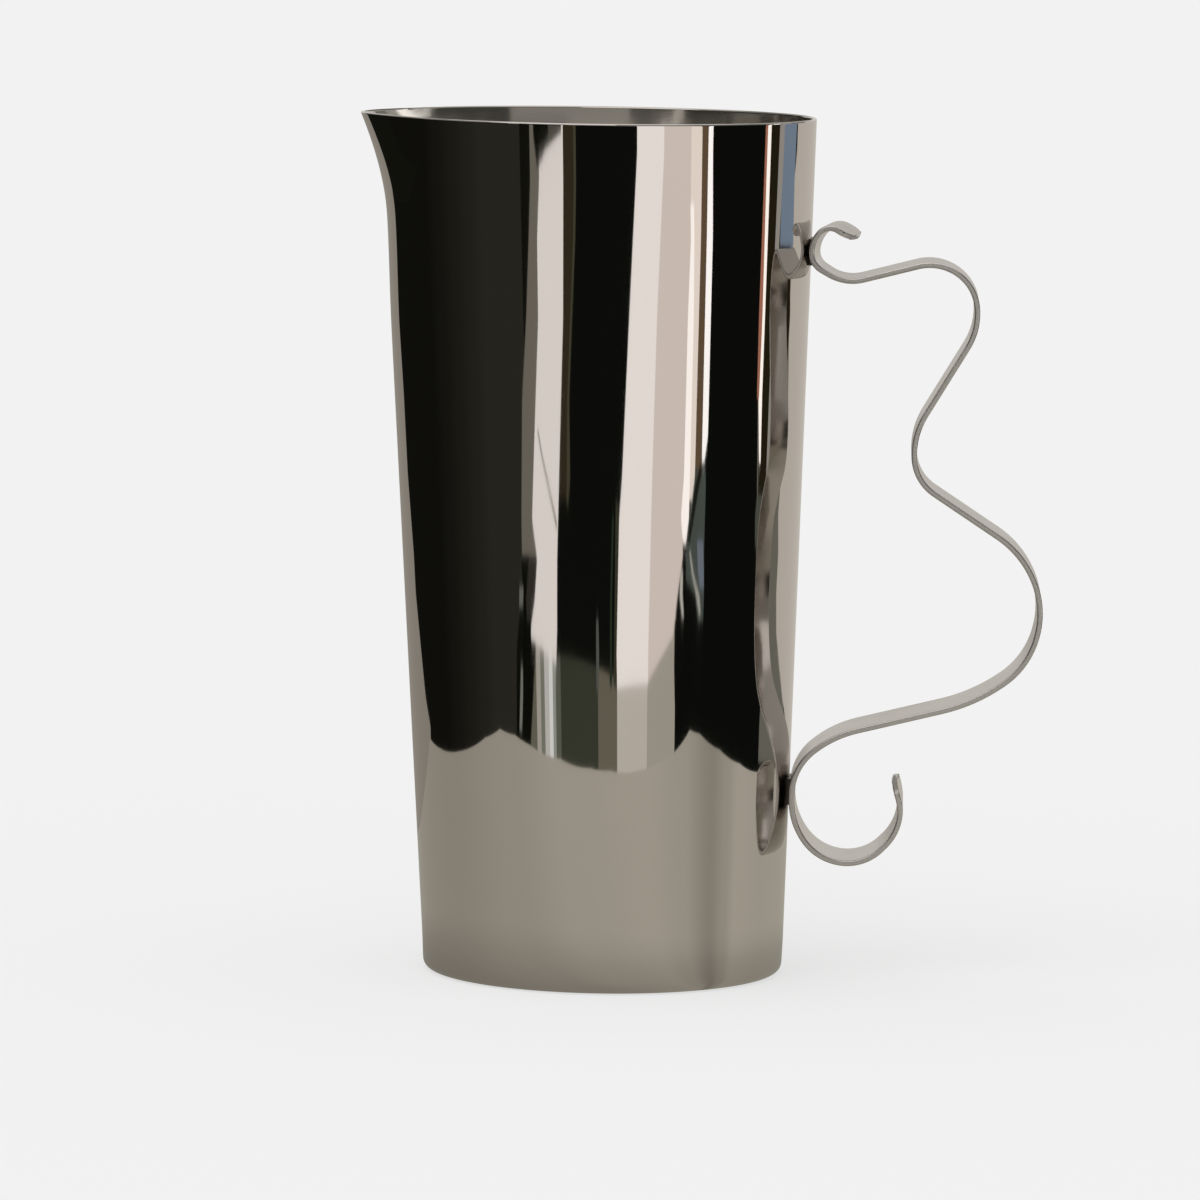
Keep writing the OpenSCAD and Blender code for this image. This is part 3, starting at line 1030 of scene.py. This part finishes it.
# A small level dark flag behind the lip, which keeps the pale wall out of it: its edge in plan, as
# X and Y in millimetres
FLAG_Z = 200 * MM
FLAG_EDGE = ((-97, 34), (-160, 124), (-195, 90), (-195, 20), (-106, 10))

# The table sheet's brightness by azimuth, round a point in front of the pitcher's right side
# These brightnesses are painted pools of light and painted shade on the table top, as the steel sees
# it
TABLE_LIGHT_AND_SHADE_MIDDLE = (24 * MM, -35 * MM, 0)
TABLE_LIGHT_AND_SHADE = (
    (-180, 0.96), (-140, 0.87), (-100, 0.84), (-60, 0.96), (-25, 1.1), (25, 1.17), (50, 1.08),
    (73, 0.79), (85, 0.98), (95, 1.18), (125, 1.1), (180, 0.96),
)

# The table sheet darkens to a share of its brightness near the foot, between these distances
FOOT_SHADE = 0.7
FOOT_SHADE_R = (45 * MM, 130 * MM)

# The table sheet is the table top as the steel sees it: its edge in plan, as X and Y in millimetres
TABLE_SHEET_COLOUR = (0.42, 0.40, 0.343)
TABLE_SHEET_Z = -0.5 * MM
TABLE_EDGE = (
    (-343, 200), (-349, 110), (-350, 44), (-349, -13), (-345, -64), (-337, -135), (-317, -200),
    (-272, -245), (-222, -275), (-123, -316), (-26, -332), (39, -333), (138, -317), (211, -299),
    (250, -285), (296, -271), (350, -256), (376, -214), (401, -112), (403, 1), (377, 133),
    (351, 214), (302, 317), (60, 317), (-160, 215),
)

# The camera's place, turns, lens and film width, as worked out from the photograph's outline
CAMERA_PLACE = (0.0706, -2.0451, 0.3129)
CAMERA_TURN = math.radians(2.034)
CAMERA_TILT = math.radians(84.053)
CAMERA_ROLL = math.radians(0.848)
CAMERA_LENS = 229.63
CAMERA_SENSOR_W = 36
CAMERA_CLIP_END = 30


def card_height(elevation):
    """Height on a card for an elevation seen from the body's middle."""
    return BODY_H / 2 + CARD_DISTANCE * math.tan(math.radians(elevation))


def beside(side, other):
    """A card's side, made whole from the other where it has one azimuth."""
    if isinstance(side, tuple):
        return side
    return [(side, elevation) for azimuth, elevation in other]


def finer_rows(left, right):
    """The rows of a card's sides, with more put between where a side leans, so it stays round."""
    left, right = beside(left, right), beside(right, left)
    rows = []
    for upper, lower in zip(zip(left, right), zip(left[1:], right[1:])):
        lean = max(abs(a[0] - b[0]) for a, b in zip(upper, lower))
        count = max(1, math.ceil(lean / CARD_TURN))
        for i in range(count):
            rows.append([
                [a + (b - a) * i / count for a, b in zip(*ends)] for ends in zip(upper, lower)
            ])
    rows.append([left[-1], right[-1]])
    return zip(*rows)


def card(name, colour, left, right, distance):
    """An upright card that only reflections see, between two sides of azimuths and elevations."""
    left, right = finer_rows(left, right)
    steps = math.ceil(max(b[0] - a[0] for a, b in zip(left, right)) / CARD_TURN)
    deselect()
    bpy.ops.mesh.primitive_grid_add(x_subdivisions=steps, y_subdivisions=len(left) - 1, size=2)
    piece = bpy.context.object
    piece.name = piece.data.name = name
    for point in piece.data.vertices:
        row = round((1 - point.co.y) / 2 * (len(left) - 1))
        across = (point.co.x + 1) / 2
        azimuth, elevation = (a + (b - a) * across for a, b in zip(left[row], right[row]))
        turn = math.radians(azimuth)
        point.co = (distance * math.sin(turn), -distance * math.cos(turn), card_height(elevation))
    piece.data.materials.append(card_material(name, colour))
    show_in_steel_only(piece)
    return piece


def straight_card(name, colour, left, right, bottom, top, distance):
    """A card with upright sides and level ends."""
    return card(
        name, colour, ((left, top), (left, bottom)), ((right, top), (right, bottom)), distance
    )


def flat_card(name, colour, edge, z):
    """A level card that only reflections see, from its edge in plan."""
    deselect()
    bpy.ops.mesh.primitive_circle_add(vertices=len(edge), fill_type="NGON")
    piece = bpy.context.object
    piece.name = piece.data.name = name
    for point, (x, y) in zip(piece.data.vertices, edge):
        point.co = (x * MM, y * MM, z)
    piece.data.materials.append(card_material(name, colour))
    show_in_steel_only(piece)
    return piece


def show_in_steel_only(piece):
    """Keeps a card out of everything but mirrored light."""
    piece.visible_camera = False
    piece.visible_diffuse = False
    piece.visible_shadow = False
    piece.visible_transmission = False


def stand_cards():
    """The studio round the pitcher that the steel mirrors."""
    for order, (name, (colour, left, right)) in enumerate(CARDS.items()):
        card(name, colour, left, right, CARD_DISTANCE + CARD_STEP * order)
    behind = CARD_DISTANCE + CARD_STEP * len(CARDS)
    for name, row in LOW_CARDS.items():
        straight_card(name, *row, *LOW_SPAN, behind)
    for name, row in OUTER_CARDS.items():
        straight_card(name, *row, behind)
    room = straight_card("dark_room_left", *DARK_ROOM, behind + CARD_STEP)
    tone_by_azimuth(room.data.materials[0], DARK_TONES)
    flat_card("dark_flag_left", STUDIO_DARK, FLAG_EDGE, FLAG_Z)
    table = flat_card("table_sheet", TABLE_SHEET_COLOUR, TABLE_EDGE, TABLE_SHEET_Z)
    sheen = table.data.materials[0]
    # The table sheet gets painted pools of light and painted shade by azimuth, and painted shade near
    # the foot
    shade_near_foot(sheen, tone_by_azimuth(sheen, TABLE_LIGHT_AND_SHADE, TABLE_LIGHT_AND_SHADE_MIDDLE))
    overhead = square_plane("overhead_softbox", OVERHEAD_SIZE, OVERHEAD_Z)
    overhead.data.materials.append(card_material("overhead_softbox", OVERHEAD_COLOUR))
    show_in_steel_only(overhead)


def square_plane(name, size, z):
    """A level square round the pitcher's middle line."""
    deselect()
    bpy.ops.mesh.primitive_plane_add(size=size, location=(0, 0, z))
    piece = bpy.context.object
    piece.name = piece.data.name = name
    return piece


def lay_floor():
    """The pale floor that the camera sees, and the steel doesn't."""
    floor = square_plane("floor", FLOOR_SIZE, FLOOR_Z)
    material = bpy.data.materials.new("Pale floor")
    material.use_nodes = True
    shader = material.node_tree.nodes["Principled BSDF"]
    shader.inputs["Base Color"].default_value = (*(level * (1 - FLOOR_GLOW) for level in PALE), 1)
    shader.inputs["Emission Color"].default_value = (*PALE, 1)
    shader.inputs["Emission Strength"].default_value = FLOOR_GLOW
    shader.inputs["Roughness"].default_value = 1.0
    shader.inputs["Specular IOR Level"].default_value = 0.0
    floor.data.materials.append(material)
    floor.visible_glossy = False


def light_room():
    """An even world, plain to the camera and dark to the steel, and a weak soft sun."""
    world = bpy.data.worlds.new("Soft studio")
    bpy.context.scene.world = world
    world.use_nodes = True
    background = world.node_tree.nodes["Background"]
    colour = light_ray_switch(world.node_tree, WORLD_LIGHT, STUDIO_DARK, PALE)
    world.node_tree.links.new(colour, background.inputs["Color"])
    bpy.ops.object.light_add(type="SUN", rotation=(*SUN_TURNS, 0))
    sun = bpy.context.object
    sun.name = "soft_key"
    sun.data.angle = SUN_SPREAD
    sun.data.energy = SUN_LEVEL * math.pi / (math.cos(SUN_TURNS[0]) * math.cos(SUN_TURNS[1]))
    sun.visible_glossy = False


def use_plain_view():
    """Colours are shown as they are, with no film curve."""
    bpy.context.scene.view_settings.view_transform = "Standard"


def place_camera():
    """The photograph's view: a long lens a little above the rim, with lip and handle in profile."""
    camera = bpy.data.cameras.new("camera")
    camera.lens = CAMERA_LENS
    camera.sensor_width = CAMERA_SENSOR_W
    camera.clip_end = CAMERA_CLIP_END
    viewer = bpy.data.objects.new("camera", camera)
    bpy.context.scene.collection.objects.link(viewer)
    place = Matrix.Translation(CAMERA_PLACE)
    turn = Matrix.Rotation(CAMERA_TURN, 4, "Z")
    tilt = Matrix.Rotation(CAMERA_TILT, 4, "X")
    roll = Matrix.Rotation(CAMERA_ROLL, 4, "Z")
    viewer.matrix_world = place @ turn @ tilt @ roll
    bpy.context.scene.camera = viewer


# The pitcher

MIRROR = steel(
    "Mirror polished steel", (0.68, 0.64, 0.615), (0.65, 0.61, 0.585), (0.015, 0.04),
    wave_height=0.2 * MM, lines_per_metre=3000.0,
)
BRUSHED = steel(
    "Brushed inside steel", (0.66, 0.63, 0.6), (0.6, 0.57, 0.54), (0.09, 0.14),
    line_height=0.005 * MM, dull_depth=DULL_DEPTH,
)
STRIP = steel(
    "Buffed strip steel", (0.67, 0.64, 0.61), (0.63, 0.6, 0.57), (0.2, 0.28),
    line_height=0.002 * MM, around_body=False, lines_per_metre=2500.0, run=(0.03, 1, 0.03),
)
GROUND_EDGE = steel(
    "Ground strip edge steel", (0.5, 0.48, 0.45), (0.43, 0.41, 0.38), (0.44, 0.5),
    around_body=False, lines_per_metre=800.0, run=(1, 0.05, 1), metallic=0.55,
)
WELD = steel(
    "Weld steel", (0.16, 0.145, 0.13), (0.08, 0.074, 0.068), (0.3, 0.5),
    line_height=0.02 * MM, around_body=False, lines_per_metre=900.0, run=(1, 1, 1),
)

use_plain_view()
place_camera()
wall = body_wall((MIRROR, BRUSHED))
pan = bottom_pan((MIRROR, BRUSHED))
seam = bottom_seam((MIRROR, BRUSHED))
handle = strip_handle((STRIP, GROUND_EDGE))

for piece, node, slot in (
    (wall, "wall", "polished_steel"),
    (pan, "base_pan", "polished_steel"),
    (seam, "base_seam_weld", "polished_steel"),
    (handle, "handle", "handle_steel"),
):
    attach(piece, "root")
    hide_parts(node)

for node in ("upper_handle_weld", "lower_handle_weld"):
    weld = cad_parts[node]
    weld.data.materials.clear()
    weld.data.materials.append(WELD)

stand_cards()
lay_floor()
light_room()
